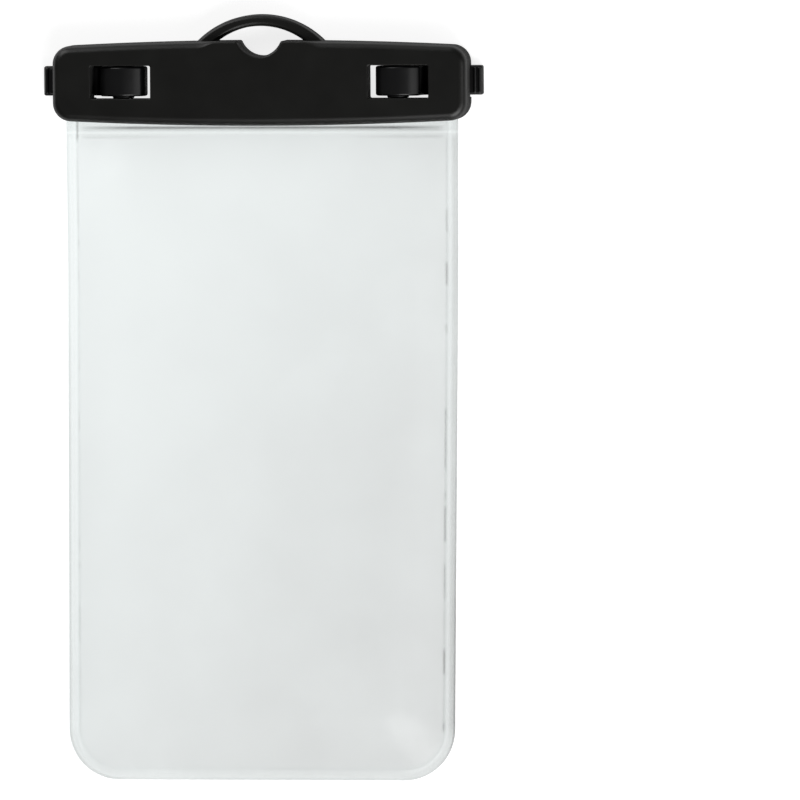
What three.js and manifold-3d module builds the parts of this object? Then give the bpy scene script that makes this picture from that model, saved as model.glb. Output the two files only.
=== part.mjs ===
// Waterproof phone pouch. A clear bag of two welded films has its mouth pinched between the two jaws
// of a black clamp bar. Two cam levers, pivoted in the windows of the front jaw, reach through the rear
// jaw and fold outwards behind it, so that their finger tabs stand out at the bar's ends.
// Millimetres. The pouch lies on its back: +X to its right, +Y towards the lanyard loop, +Z to the front.
import * as THREE from "three";
import { mergeVertices } from "three/addons/utils/BufferGeometryUtils.js";
import Module from "manifold-3d";

// Clamp bar
const BAR_CENTRE_Y = 89.4;
const BAR_LENGTH = 118.8;
const BAR_END_HEIGHT = 20.9;
const BAR_MID_HEIGHT = 23.6;
const BAR_CORNER_RADIUS = 5.2;
const BAR_DEPTH = 12.4;
const FRONT_EDGE_RADIUS = 2.3;
const REAR_EDGE_RADIUS = 1.3;
const PARTING_Z = 6;
const FIT_GAP = 0.3;

// Lanyard loop on the bar's top edge, and the finger notch under it
const LOOP_OUTER_RADIUS = 25.65;
const LOOP_INNER_RADIUS = 20.6;
const LOOP_TOP_Y = 109;
const LOOP_BAND = 3;
const LOOP_HALF_DEPTH = 3.1;
const LOOP_EDGE = 0.9;
const LOOP_FOOT_SINK = 1.4;
const NOTCH_RADIUS = 6.73;
const NOTCH_DEPTH = 4.4;
const NOTCH_CHAMFER = 0.6;

// Windows for the levers
const WINDOW_X = 39.8;
const WINDOW_WIDTH = 17.2;
const WINDOW_HEIGHT = 9.6;
const WINDOW_CORNER = 0.6;
const WINDOW_CHAMFER = 0.35;
const REAR_WINDOW_INNER_X = 28.8;
const REAR_WINDOW_HEIGHT = 10.8;
const CHANNEL_DEPTH = 4.1;
const CHANNEL_HEIGHT = 9.1;

// Levers: sizes are counted from the pivot unless they are named otherwise
const PIVOT_X = 39.35;
const PIVOT_Z = 8.4;
const LEVER_HEIGHT = 7.7;
const LEVER_EDGE = 0.35;
const LEVER_TIP_X = 63;
const LEVER_OFFSET_Y = 0.3;
const BARREL_CORNER = 0.5;
const ARM_BACK_Z = 0.6;
const ARM_THICKNESS = 3.2;
const RIB_RADIUS = 0.6;
const RIB_PITCH = 1.35;
const BOSS_RADIUS = 3.1;
const BOSS_LENGTH = 8.9;
const PIN_RADIUS = 1.9;
const PIN_LENGTH = 11.2;
const SLOT_MOUTH = 3.5;

// Film bag
const BAG_BOTTOM_Y = -109;
const BAG_TOP_HALF_WIDTH = 55.8;
const BAG_BOTTOM_HALF_WIDTH = 55;
const BAG_CORNER_RADIUS = 14.5;
const FILM = 0.4;
const WELD_WIDTH = 2.8;
const WELD_Z = 3.4;
const BAG_FRONT_Z = 9.8;
const BAG_REAR_Z = 0.25;
const CROWN_REACH = 17;
const NECK_LENGTH = 26;
const WELD_RISE_LENGTH = 48;

// Pinched mouth of the bag: the film dips under a ridge of the front jaw, over the seal strip
const NECK_Y = 78.3;
const MOUTH_Y = 83.2;
const RIDGE_LOW_Y = 80.3;
const RIDGE_HIGH_Y = 82.5;
const RIDGE_SLOPE = 0.4;
const RIDGE_DROP = 0.7;
const SEAL_LENGTH = 112;
const SEAL_WIDTH = 1.8;
const SEAL_THICKNESS = 1.4;

const CURVE_STEPS = 7;
const ROUND_STEPS = 24;

const plastic = new THREE.MeshStandardMaterial({ color: 0x1b1b19, roughness: 0.42, metalness: 0 });
const clearFilm = new THREE.MeshStandardMaterial({
  color: 0xe4edea, roughness: 0.12, metalness: 0, transparent: true, opacity: 0.35,
});
const silicone = new THREE.MeshStandardMaterial({ color: 0xb9bcb8, roughness: 0.7, metalness: 0 });

const wasm = await Module();
wasm.setup();

// A closed geometry as a solid that can be joined and cut.
function solid(geometry) {
  const bare = geometry.clone();
  bare.deleteAttribute("normal");
  bare.deleteAttribute("uv");
  const merged = mergeVertices(bare, 1e-4);
  return new wasm.Manifold(new wasm.Mesh({
    numProp: 3,
    vertProperties: new Float32Array(merged.attributes.position.array),
    triVerts: new Uint32Array(merged.index.array),
  }));
}

// A named mesh of a solid.
function meshOf(name, body, material) {
  const { vertProperties, triVerts } = body.getMesh();
  const geometry = new THREE.BufferGeometry();
  geometry.setAttribute("position", new THREE.BufferAttribute(vertProperties, 3));
  geometry.setIndex(new THREE.BufferAttribute(triVerts, 1));
  geometry.computeVertexNormals();
  return named(name, geometry, material);
}

function named(name, geometry, material) {
  const mesh = new THREE.Mesh(geometry, material);
  mesh.name = name;
  return mesh;
}

// A block between two corners.
function block(low, high) {
  const size = high.map((value, axis) => value - low[axis]);
  const geometry = new THREE.BoxGeometry(...size);
  geometry.translate(...low.map((value, axis) => value + size[axis] / 2));
  return solid(geometry);
}

// A rectangle with rounded corners, centred on the origin.
function roundedRectangle(width, height, radius) {
  const x = width / 2 - radius;
  const y = height / 2 - radius;
  const shape = new THREE.Shape();
  shape.absarc(x, -y, radius, -Math.PI / 2, 0);
  shape.absarc(x, y, radius, 0, Math.PI / 2);
  shape.absarc(-x, y, radius, Math.PI / 2, Math.PI);
  shape.absarc(-x, -y, radius, Math.PI, 1.5 * Math.PI);
  shape.closePath();
  return shape;
}

// A plate of the given outline between two heights, its edges rounded by the edge radius.
function plate(shape, lowZ, highZ, edge, edgeSteps = 3) {
  const geometry = new THREE.ExtrudeGeometry(shape, {
    depth: highZ - lowZ - 2 * edge,
    curveSegments: CURVE_STEPS,
    bevelEnabled: edge > 0,
    bevelThickness: edge,
    bevelSize: edge,
    bevelOffset: -edge,
    bevelSegments: edgeSteps,
  });
  geometry.translate(0, 0, lowZ + edge);
  return solid(geometry);
}

// The bar's outline: long edges bowed outwards, rounded corners.
function barOutline() {
  const x = BAR_LENGTH / 2 - BAR_CORNER_RADIUS;
  const y = BAR_END_HEIGHT / 2;
  const r = BAR_CORNER_RADIUS;
  const bowControl = BAR_MID_HEIGHT - y;
  const shape = new THREE.Shape();
  shape.moveTo(-x, -y);
  shape.quadraticCurveTo(0, -bowControl, x, -y);
  shape.absarc(x, -y + r, r, -Math.PI / 2, 0);
  shape.absarc(x, y - r, r, 0, Math.PI / 2);
  shape.quadraticCurveTo(0, bowControl, -x, y);
  shape.absarc(-x, y - r, r, Math.PI / 2, Math.PI);
  shape.absarc(-x, -y + r, r, Math.PI, 1.5 * Math.PI);
  return shape;
}

// The lanyard loop: a crescent between two arcs, its feet sunk into the bar.
function loopOutline() {
  const footY = BAR_CENTRE_Y + BAR_MID_HEIGHT / 2 - LOOP_FOOT_SINK;
  const outerY = LOOP_TOP_Y - LOOP_OUTER_RADIUS;
  const innerY = LOOP_TOP_Y - LOOP_BAND - LOOP_INNER_RADIUS;
  const outerAngle = Math.asin((footY - outerY) / LOOP_OUTER_RADIUS);
  const innerAngle = Math.asin((footY - innerY) / LOOP_INNER_RADIUS);
  const shape = new THREE.Shape();
  shape.absarc(0, outerY, LOOP_OUTER_RADIUS, outerAngle, Math.PI - outerAngle, false);
  shape.absarc(0, innerY, LOOP_INNER_RADIUS, Math.PI - innerAngle, innerAngle, true);
  shape.closePath();
  return shape;
}

// The finger notch: a round cut, with a chamfer at the given face.
function notch(faceZ, faceSign) {
  const centreY = BAR_CENTRE_Y + BAR_MID_HEIGHT / 2 - NOTCH_DEPTH + NOTCH_RADIUS;
  const hole = new THREE.CylinderGeometry(NOTCH_RADIUS, NOTCH_RADIUS, 2 * BAR_DEPTH, 2 * ROUND_STEPS);
  hole.rotateX(Math.PI / 2);
  hole.translate(0, centreY, PARTING_Z);
  const cone = new THREE.CylinderGeometry(
    NOTCH_RADIUS + 2 * NOTCH_CHAMFER, NOTCH_RADIUS, 2 * NOTCH_CHAMFER, 2 * ROUND_STEPS);
  cone.rotateX(faceSign * Math.PI / 2);
  cone.translate(0, centreY, faceZ);
  return solid(hole).add(solid(cone));
}

// The bar and its half of the lanyard loop, rounded at the outer face and flat at the parting plane.
function jawBlank(outerZ, partingZ, edgeRadius) {
  const sign = Math.sign(outerZ - partingZ);
  const beyond = partingZ - sign * 2 * edgeRadius;
  const loopOuterZ = partingZ + sign * LOOP_HALF_DEPTH;
  const loopBeyond = partingZ - sign * 2 * LOOP_EDGE;
  const bar = plate(barOutline(), Math.min(outerZ, beyond), Math.max(outerZ, beyond), edgeRadius, 4)
    .translate([0, BAR_CENTRE_Y, 0])
    .subtract(notch(outerZ, sign));
  const loop = plate(
    loopOutline(), Math.min(loopOuterZ, loopBeyond), Math.max(loopOuterZ, loopBeyond), LOOP_EDGE, 2);
  const reach = BAR_LENGTH;
  const otherSide = sign > 0
    ? block([-reach, -reach, -reach], [reach, 2 * reach, partingZ])
    : block([-reach, -reach, partingZ], [reach, 2 * reach, reach]);
  return bar.add(loop).subtract(otherSide);
}

// Height of the pinched film above its own plane along Y: the dip under the ridge.
function ridgeDip(y) {
  const below = THREE.MathUtils.clamp((RIDGE_LOW_Y - y) / RIDGE_SLOPE, 0, 1);
  const above = THREE.MathUtils.clamp((y - RIDGE_HIGH_Y) / RIDGE_SLOPE, 0, 1);
  return -RIDGE_DROP * (1 - Math.max(below, above));
}

// Space for the pinched films in one jaw: a bar of the ridge's section, as long as the bag is wide.
function neckRelief(faceZ, farZ) {
  const lowY = BAR_CENTRE_Y - BAR_MID_HEIGHT / 2 - 1;
  const highY = MOUTH_Y + FIT_GAP;
  const section = new THREE.Shape();
  section.moveTo(lowY, farZ);
  section.lineTo(highY, farZ);
  const ridge = [RIDGE_HIGH_Y + RIDGE_SLOPE, RIDGE_HIGH_Y, RIDGE_LOW_Y, RIDGE_LOW_Y - RIDGE_SLOPE];
  for (const y of [highY, ...ridge, lowY]) section.lineTo(y, faceZ + ridgeDip(y));
  const halfLength = BAG_TOP_HALF_WIDTH + FIT_GAP;
  const geometry = new THREE.ExtrudeGeometry(section, { depth: 2 * halfLength, bevelEnabled: false });
  geometry.rotateX(Math.PI / 2);
  geometry.rotateZ(Math.PI / 2);
  geometry.translate(-halfLength, 0, 0);
  return solid(geometry);
}

// The snap-in slot of a lever's pins: a round seat that opens to the rear through a narrower mouth.
function pinSlot(side) {
  const radius = PIN_RADIUS + FIT_GAP;
  const partingZ = PARTING_Z - FIT_GAP;
  const mouth = SLOT_MOUTH / 2;
  const lipZ = PIVOT_Z - Math.sqrt(radius ** 2 - mouth ** 2);
  const lipAngle = Math.atan2(lipZ - PIVOT_Z, mouth);
  const shape = new THREE.Shape();
  shape.moveTo(-mouth, partingZ);
  shape.lineTo(mouth, partingZ);
  shape.absarc(0, PIVOT_Z, radius, lipAngle, Math.PI - lipAngle, false);
  shape.closePath();
  const length = PIN_LENGTH + 2 * FIT_GAP;
  const geometry = new THREE.ExtrudeGeometry(shape, {
    depth: length, curveSegments: ROUND_STEPS, bevelEnabled: false,
  });
  geometry.rotateX(Math.PI / 2);
  geometry.translate(side * PIVOT_X, BAR_CENTRE_Y + length / 2, 0);
  return solid(geometry);
}

// One window of the front jaw: chamfered rim, slot for the lever's pins.
function frontWindow(side) {
  const opening = roundedRectangle(WINDOW_WIDTH, WINDOW_HEIGHT, WINDOW_CORNER);
  const wide = roundedRectangle(
    WINDOW_WIDTH + 2 * WINDOW_CHAMFER, WINDOW_HEIGHT + 2 * WINDOW_CHAMFER, WINDOW_CORNER + WINDOW_CHAMFER);
  const place = [side * WINDOW_X, BAR_CENTRE_Y, 0];
  return plate(opening, 0, 2 * BAR_DEPTH, 0).translate(place)
    .add(plate(wide, BAR_DEPTH - WINDOW_CHAMFER, BAR_DEPTH + 4 * WINDOW_CHAMFER, WINDOW_CHAMFER, 1)
      .translate(place))
    .add(pinSlot(side));
}

// One window of the rear jaw, and the channel behind it in which the lever's arm lies.
function rearWindow(side) {
  const outerX = WINDOW_X + WINDOW_WIDTH / 2;
  const width = outerX - REAR_WINDOW_INNER_X;
  const opening = roundedRectangle(width, REAR_WINDOW_HEIGHT, WINDOW_CORNER);
  const channelX = [side * (outerX - WINDOW_CORNER), side * BAR_LENGTH];
  return plate(opening, -BAR_DEPTH, BAR_DEPTH, 0)
    .translate([side * (outerX - width / 2), BAR_CENTRE_Y, 0])
    .add(block(
      [Math.min(...channelX), BAR_CENTRE_Y - CHANNEL_HEIGHT / 2, -CHANNEL_DEPTH],
      [Math.max(...channelX), BAR_CENTRE_Y + CHANNEL_HEIGHT / 2, CHANNEL_DEPTH]));
}

function frontJaw() {
  const partingZ = PARTING_Z + FIT_GAP / 2;
  const neckFaceZ = PARTING_Z + FIT_GAP / 2 + FILM + FIT_GAP;
  const body = jawBlank(BAR_DEPTH, partingZ, FRONT_EDGE_RADIUS)
    .subtract(frontWindow(-1))
    .subtract(frontWindow(1))
    .subtract(neckRelief(neckFaceZ, 0));
  return meshOf("front_jaw", body, plastic);
}

function rearJaw() {
  const partingZ = PARTING_Z - FIT_GAP / 2;
  const neckFaceZ = PARTING_Z - FIT_GAP / 2 - FILM - FIT_GAP;
  const groove = sealBlock(FIT_GAP, neckFaceZ);
  const body = jawBlank(0, partingZ, REAR_EDGE_RADIUS)
    .subtract(rearWindow(-1))
    .subtract(rearWindow(1))
    .subtract(neckRelief(neckFaceZ, BAR_DEPTH))
    .subtract(groove);
  return meshOf("rear_jaw", body, plastic);
}

// The seal strip's block, grown on each side by a margin, up to the given height.
function sealBlock(margin, topZ) {
  const midY = (RIDGE_LOW_Y + RIDGE_HIGH_Y) / 2;
  const lowZ = sealTopZ() - SEAL_THICKNESS;
  return block(
    [-SEAL_LENGTH / 2 - margin, midY - SEAL_WIDTH / 2 - margin, lowZ - margin],
    [SEAL_LENGTH / 2 + margin, midY + SEAL_WIDTH / 2 + margin, topZ]);
}

function sealTopZ() {
  return PARTING_Z - FIT_GAP / 2 - FILM - FIT_GAP - RIDGE_DROP;
}

function sealStrip() {
  return meshOf("seal_strip", sealBlock(0, sealTopZ()), silicone);
}

// A lever's side profile about its pivot, X outwards and Y to the front: a cam-shaped barrel with
// its crest to the front, sloping gently both ways to an upright outer wall and a round inner one,
// and a flat arm behind it that runs outwards to the finger tab.
function leverProfile(side) {
  const backZ = ARM_BACK_Z - PIVOT_Z;
  const armTopZ = backZ + ARM_THICKNESS;
  const tipX = LEVER_TIP_X - PIVOT_X;
  const tipRound = 0.9;
  const shape = new THREE.Shape();
  const at = (x, z) => [side * x, z];
  shape.moveTo(...at(2.5, backZ));
  shape.lineTo(...at(tipX - tipRound, backZ));
  shape.quadraticCurveTo(...at(tipX, backZ), ...at(tipX, backZ + tipRound));
  shape.lineTo(...at(tipX, armTopZ - tipRound));
  shape.quadraticCurveTo(...at(tipX, armTopZ), ...at(tipX - tipRound, armTopZ));
  shape.lineTo(...at(8.2, armTopZ));
  shape.quadraticCurveTo(...at(6.2, armTopZ), ...at(6.1, -1.4));
  shape.lineTo(...at(6.1, 1.95 - BARREL_CORNER));
  shape.quadraticCurveTo(...at(6.1, 1.95), ...at(6.1 - BARREL_CORNER, 2.2));
  shape.quadraticCurveTo(...at(3, 3.7), ...at(0.4, 3.7));
  shape.quadraticCurveTo(...at(-1.9, 3.7), ...at(-4.7, 2.2));
  shape.bezierCurveTo(...at(-6.1, 1.5), ...at(-6.55, 0.2), ...at(-6.55, -2.2));
  shape.bezierCurveTo(...at(-6.6, -5.6), ...at(-3, backZ), ...at(2.5, backZ));
  return shape;
}

// A rod along Y, centred on the clamp bar or a little off it.
function rod(radius, length, x, z, offsetY = 0) {
  const geometry = new THREE.CylinderGeometry(radius, radius, length, ROUND_STEPS);
  geometry.translate(x, BAR_CENTRE_Y + offsetY, z);
  return solid(geometry);
}

function lever(name, side) {
  const geometry = new THREE.ExtrudeGeometry(leverProfile(side), {
    depth: LEVER_HEIGHT - 2 * LEVER_EDGE,
    curveSegments: CURVE_STEPS,
    bevelThickness: LEVER_EDGE,
    bevelSize: LEVER_EDGE,
    bevelOffset: -LEVER_EDGE,
    bevelSegments: 1,
  });
  geometry.rotateX(Math.PI / 2);
  geometry.translate(side * PIVOT_X, BAR_CENTRE_Y + LEVER_OFFSET_Y + LEVER_HEIGHT / 2 - LEVER_EDGE, PIVOT_Z);
  const ribZ = ARM_BACK_Z + ARM_THICKNESS - LEVER_EDGE / 2;
  let body = solid(geometry)
    .add(rod(BOSS_RADIUS, BOSS_LENGTH, side * PIVOT_X, PIVOT_Z))
    .add(rod(PIN_RADIUS, PIN_LENGTH, side * PIVOT_X, PIVOT_Z));
  for (const step of [0, 1]) {
    const ribX = LEVER_TIP_X - RIB_RADIUS - 0.35 - step * RIB_PITCH;
    body = body.add(rod(RIB_RADIUS, LEVER_HEIGHT - 4 * LEVER_EDGE, side * ribX, ribZ, LEVER_OFFSET_Y));
  }
  return meshOf(name, body, plastic);
}

// Rows of the film's grid from the mouth down: the pinched neck, the bag and its rounded corners.
function filmRows() {
  const rows = [MOUTH_Y, RIDGE_HIGH_Y + RIDGE_SLOPE, RIDGE_HIGH_Y, RIDGE_LOW_Y, RIDGE_LOW_Y - RIDGE_SLOPE];
  const cornerY = BAG_BOTTOM_Y + BAG_CORNER_RADIUS;
  const bodySteps = 16;
  for (let i = 0; i < bodySteps; i++)
    rows.push(THREE.MathUtils.lerp(NECK_Y, cornerY, (i / bodySteps) ** 1.4));
  const cornerSteps = 6;
  for (let i = 0; i <= cornerSteps; i++)
    rows.push(cornerY - BAG_CORNER_RADIUS * Math.sin((Math.PI / 2) * (i / cornerSteps)));
  return rows;
}

// The bag's half width at a height, ahead of the rounding of its corners.
function straightHalfWidth(y) {
  return THREE.MathUtils.mapLinear(y, MOUTH_Y, BAG_BOTTOM_Y, BAG_TOP_HALF_WIDTH, BAG_BOTTOM_HALF_WIDTH);
}

function halfWidth(y) {
  const drop = Math.max(BAG_BOTTOM_Y + BAG_CORNER_RADIUS - y, 0);
  const round = BAG_CORNER_RADIUS - Math.sqrt(Math.max(BAG_CORNER_RADIUS ** 2 - drop ** 2, 0));
  return straightHalfWidth(y) - round;
}

// Distance of a point of the bag from the inner line of the weld round its sides and bottom.
function insideWeld(x, y) {
  const fromSide = straightHalfWidth(y) - Math.abs(x);
  const fromBottom = y - BAG_BOTTOM_Y;
  const cornerX = BAG_CORNER_RADIUS - fromSide;
  const cornerY = BAG_CORNER_RADIUS - fromBottom;
  const fromEdge = cornerX > 0 && cornerY > 0
    ? BAG_CORNER_RADIUS - Math.hypot(cornerX, cornerY)
    : Math.min(fromSide, fromBottom);
  return fromEdge - WELD_WIDTH;
}

// How far a point of the film has left the weld's plane for the bag's full thickness, 0 to 1.
function crown(x, y) {
  const fromWeld = THREE.MathUtils.clamp(insideWeld(x, y) / CROWN_REACH, 0, 1);
  const fromNeck = THREE.MathUtils.clamp((NECK_Y - y) / NECK_LENGTH, 0, 1);
  return Math.sin((Math.PI / 2) * fromWeld) * Math.sin((Math.PI / 2) * fromNeck);
}

// Height of the plane in which the two films meet: low round the bag, and up to the jaws at the neck.
function weldPlane(y) {
  const rise = THREE.MathUtils.smoothstep(y, NECK_Y - WELD_RISE_LENGTH, NECK_Y);
  return THREE.MathUtils.lerp(WELD_Z, PARTING_Z, rise) + ridgeDip(y);
}

// One film of the bag, a thin closed sheet. Side is 1 for the front film and -1 for the rear one.
function film(name, side) {
  const rows = filmRows();
  const inner = 14;
  const columns = [-1];
  for (let i = 0; i <= inner; i++) columns.push(-Math.cos((Math.PI * i) / inner));
  columns.push(1);
  const geometry = new THREE.BoxGeometry(2, 2, 2, columns.length - 1, rows.length - 1, 1);
  const position = geometry.attributes.position;
  const fullZ = side > 0 ? BAG_FRONT_Z : BAG_REAR_Z;
  for (let i = 0; i < position.count; i++) {
    const column = Math.round(((position.getX(i) + 1) / 2) * (columns.length - 1));
    const row = Math.round(((1 - position.getY(i)) / 2) * (rows.length - 1));
    const y = rows[row];
    const onEdge = column === 0 || column === columns.length - 1;
    const x = columns[column] * (halfWidth(y) - (onEdge ? 0 : WELD_WIDTH));
    const weldZ = weldPlane(y) + side * (FILM + FIT_GAP) / 2;
    const z = THREE.MathUtils.lerp(weldZ, fullZ, crown(x, y)) + position.getZ(i) * FILM / 2;
    position.setXYZ(i, x, y, z);
  }
  return named(name, geometry, clearFilm);
}

const pouch = new THREE.Group();
pouch.name = "waterproof_phone_pouch";
pouch.add(frontJaw(), rearJaw(), sealStrip());
pouch.add(lever("left_lever", -1), lever("right_lever", 1));
pouch.add(film("front_film", 1), film("rear_film", -1));

export default pouch;
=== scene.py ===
"""Waterproof phone pouch: a clear film bag in a black clamp bar with two cam levers, lying on a pale floor.

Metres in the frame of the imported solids. The pouch lies on its back: +X to its right, +Y towards the
lanyard loop, +Z to its front. The classes below hold their sizes in millimetres.
"""
import logging
import math
from dataclasses import dataclass, field
from enum import Enum
from typing import Sequence

import bmesh
import bpy
import numpy as np
from mathutils import Matrix, Vector


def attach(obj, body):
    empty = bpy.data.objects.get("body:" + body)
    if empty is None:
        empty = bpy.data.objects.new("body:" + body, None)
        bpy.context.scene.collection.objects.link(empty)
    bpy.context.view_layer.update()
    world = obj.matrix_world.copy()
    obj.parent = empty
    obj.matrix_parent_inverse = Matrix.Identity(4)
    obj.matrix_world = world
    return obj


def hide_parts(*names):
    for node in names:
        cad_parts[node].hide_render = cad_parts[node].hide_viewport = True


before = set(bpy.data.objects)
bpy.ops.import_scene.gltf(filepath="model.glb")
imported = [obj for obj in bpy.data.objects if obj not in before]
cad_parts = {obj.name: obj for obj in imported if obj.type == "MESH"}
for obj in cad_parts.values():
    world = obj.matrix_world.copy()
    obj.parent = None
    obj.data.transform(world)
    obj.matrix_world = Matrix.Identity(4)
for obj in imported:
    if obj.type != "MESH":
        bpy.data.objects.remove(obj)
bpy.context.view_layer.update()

MM = 0.001
SEED = 41
FINE = 0.01  # mm by which a cutter passes the face that it opens
SAME = 1e-4  # mm under which two points of an outline are one
Pair = tuple[float, float]
log = logging.getLogger("pouch")


class Side(Enum):
    """Which end of the clamp bar a piece is at."""

    LEFT = -1
    RIGHT = 1


class Face(Enum):
    """Which face of the pouch a piece belongs to."""

    FRONT = 1
    REAR = -1


class Join(Enum):
    """How one solid acts on another."""

    ADD = "UNION"
    CUT = "DIFFERENCE"


class Term:
    """A shader output in a sum on numbers: each operator adds a Math node."""

    def __init__(self, tree: bpy.types.NodeTree, output: bpy.types.NodeSocket) -> None:
        """Wraps one output of a node tree."""
        self.tree = tree
        self.output = output

    def math(self, operation: str, *values: "Term | float") -> "Term":
        """Adds a Math node.

        Args:
            operation: Blender's name of the operation.
            values: numbers or terms for its inputs.

        Returns:
            The node's result.
        """
        node = self.tree.nodes.new("ShaderNodeMath")
        node.operation = operation
        for socket, value in zip(node.inputs, values):
            if isinstance(value, Term):
                self.tree.links.new(value.output, socket)
            else:
                socket.default_value = value
        return Term(self.tree, node.outputs[0])

    def __add__(self, other: "Term | float") -> "Term":
        """Sum."""
        return self.math("ADD", self, other)

    def __radd__(self, other: float) -> "Term":
        """Sum with a number on the left."""
        return self.math("ADD", other, self)

    def __sub__(self, other: "Term | float") -> "Term":
        """Difference."""
        return self.math("SUBTRACT", self, other)

    def __rsub__(self, other: float) -> "Term":
        """Difference from a number."""
        return self.math("SUBTRACT", other, self)

    def __mul__(self, other: "Term | float") -> "Term":
        """Product."""
        return self.math("MULTIPLY", self, other)

    def __rmul__(self, other: float) -> "Term":
        """Product with a number on the left."""
        return self.math("MULTIPLY", other, self)

    def __pow__(self, power: float) -> "Term":
        """Power."""
        return self.math("POWER", self, power)

    def within(self, low: float, high: float) -> "Term":
        """The value held between two numbers."""
        return self.math("MINIMUM", self.math("MAXIMUM", self, low), high)


class Recipe:
    """The node tree of one material."""

    def __init__(self, name: str) -> None:
        """Starts an empty material."""
        self.material = bpy.data.materials.new(name)
        self.material.use_nodes = True
        self.tree = self.material.node_tree
        self.tree.nodes.clear()

    def node(self, kind: str, settings: dict | None = None, inputs: dict | None = None) -> bpy.types.Node:
        """Adds a node.

        Args:
            kind: the node's type.
            settings: attributes of the node, set before its inputs.
            inputs: numbers, colours, terms or sockets by input name or index.

        Returns:
            The node.
        """
        node = self.tree.nodes.new(kind)
        for key, value in (settings or {}).items():
            setattr(node, key, value)
        for key, value in (inputs or {}).items():
            if isinstance(value, Term):
                value = value.output
            if isinstance(value, bpy.types.NodeSocket):
                self.tree.links.new(value, node.inputs[key])
            else:
                node.inputs[key].default_value = value
        return node

    def term(self, node: bpy.types.Node, output: str | int = 0) -> Term:
        """One output of a node as a term."""
        return Term(self.tree, node.outputs[output])

    def place(self) -> bpy.types.NodeSocket:
        """The piece's own coordinates, in metres."""
        return self.node("ShaderNodeTexCoord").outputs["Object"]

    def noise(self, size_mm: float, detail: float = 2.0, stretch: tuple = (1, 1, 1)) -> Term:
        """Noise with features of a given size.

        Args:
            size_mm: size of one feature.
            detail: number of finer octaves.
            stretch: factor on the coordinates along each axis.

        Returns:
            A value around 0.5.
        """
        scaled = self.node(
            "ShaderNodeVectorMath", {"operation": "MULTIPLY"}, {0: self.place(), 1: stretch})
        found = self.node(
            "ShaderNodeTexNoise", {"noise_dimensions": "3D"},
            {"Vector": scaled.outputs[0], "Scale": 1 / (size_mm * MM), "Detail": detail, "Roughness": 0.5})
        return self.term(found, 0)

    def blend(self, share: Term, low: Sequence[float], high: Sequence[float]) -> bpy.types.NodeSocket:
        """A colour between two others."""
        mix = self.node("ShaderNodeMix", {"data_type": "RGBA"}, {0: share, 6: (*low, 1), 7: (*high, 1)})
        return mix.outputs[2]

    def bump(self, height: Term, depth_mm: float) -> bpy.types.NodeSocket:
        """A normal from a height between 0 and 1 that is depth_mm deep."""
        node = self.node(
            "ShaderNodeBump", None, {"Strength": 1.0, "Distance": depth_mm * MM, "Height": height})
        return node.outputs[0]

    def finish(self, shader: bpy.types.Node) -> bpy.types.Material:
        """Ends the material with its surface shader."""
        self.node("ShaderNodeOutputMaterial", None, {"Surface": shader.outputs[0]})
        return self.material


@dataclass(frozen=True)
class MouldedPlastic:
    """Black satin moulded plastic with a fine eroded texture and a little unevenness."""

    name: str
    shade: tuple[float, float, float]
    roughness: float
    grain_mm: float = 0.16
    grain_depth_mm: float = 0.004
    grain_roughness: float = 0.05
    wave_mm: float = 7.0
    wave_depth_mm: float = 0.02
    cloud_mm: float = 9.0
    cloud_contrast: float = 1.6
    cloud_offset: float = 0.3
    cloud_roughness: float = 0.10
    paler: float = 1.5
    grazing_dull: float = 0.9
    ior: float = 1.48

    def material(self) -> bpy.types.Material:
        """Builds the material."""
        recipe = Recipe(self.name)
        cloud = recipe.noise(self.cloud_mm, detail=3.0)
        grain = recipe.noise(self.grain_mm)
        wave = recipe.noise(self.wave_mm, detail=1.0)
        paler = tuple(self.paler * c for c in self.shade)
        share = (cloud * self.cloud_contrast - self.cloud_offset).within(0, 1)
        colour = recipe.blend(share, self.shade, paler)
        facing = recipe.term(recipe.node("ShaderNodeLayerWeight", None, {"Blend": 0.5}), "Facing")
        roughness = self.roughness + self.cloud_roughness * (cloud - 0.5)
        roughness = roughness + self.grain_roughness * (grain - 0.5)
        roughness = (roughness + self.grazing_dull * facing ** 3).within(0, 1)
        height = grain * self.grain_depth_mm + wave * self.wave_depth_mm
        shader = recipe.node("ShaderNodeBsdfPrincipled", None, {
            "Base Color": colour, "Roughness": roughness, "IOR": self.ior,
            "Normal": recipe.bump(height, 1.0)})
        return recipe.finish(shader)


@dataclass(frozen=True)
class Silicone:
    """Soft grey silicone with a faint cloudiness."""

    name: str = "seal_silicone"
    shade: tuple[float, float, float] = (0.42, 0.43, 0.41)
    paler: float = 1.2
    cloud_mm: float = 3.0
    grain_mm: float = 0.4
    grain_depth_mm: float = 0.01
    roughness: float = 0.55
    cloud_roughness: float = 0.1
    ior: float = 1.42

    def material(self) -> bpy.types.Material:
        """Builds the material."""
        recipe = Recipe(self.name)
        cloud = recipe.noise(self.cloud_mm, detail=3.0)
        colour = recipe.blend(cloud, self.shade, tuple(self.paler * c for c in self.shade))
        shader = recipe.node("ShaderNodeBsdfPrincipled", None, {
            "Base Color": colour, "Roughness": self.roughness + self.cloud_roughness * cloud,
            "IOR": self.ior, "Normal": recipe.bump(recipe.noise(self.grain_mm), self.grain_depth_mm)})
        return recipe.finish(shader)


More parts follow.
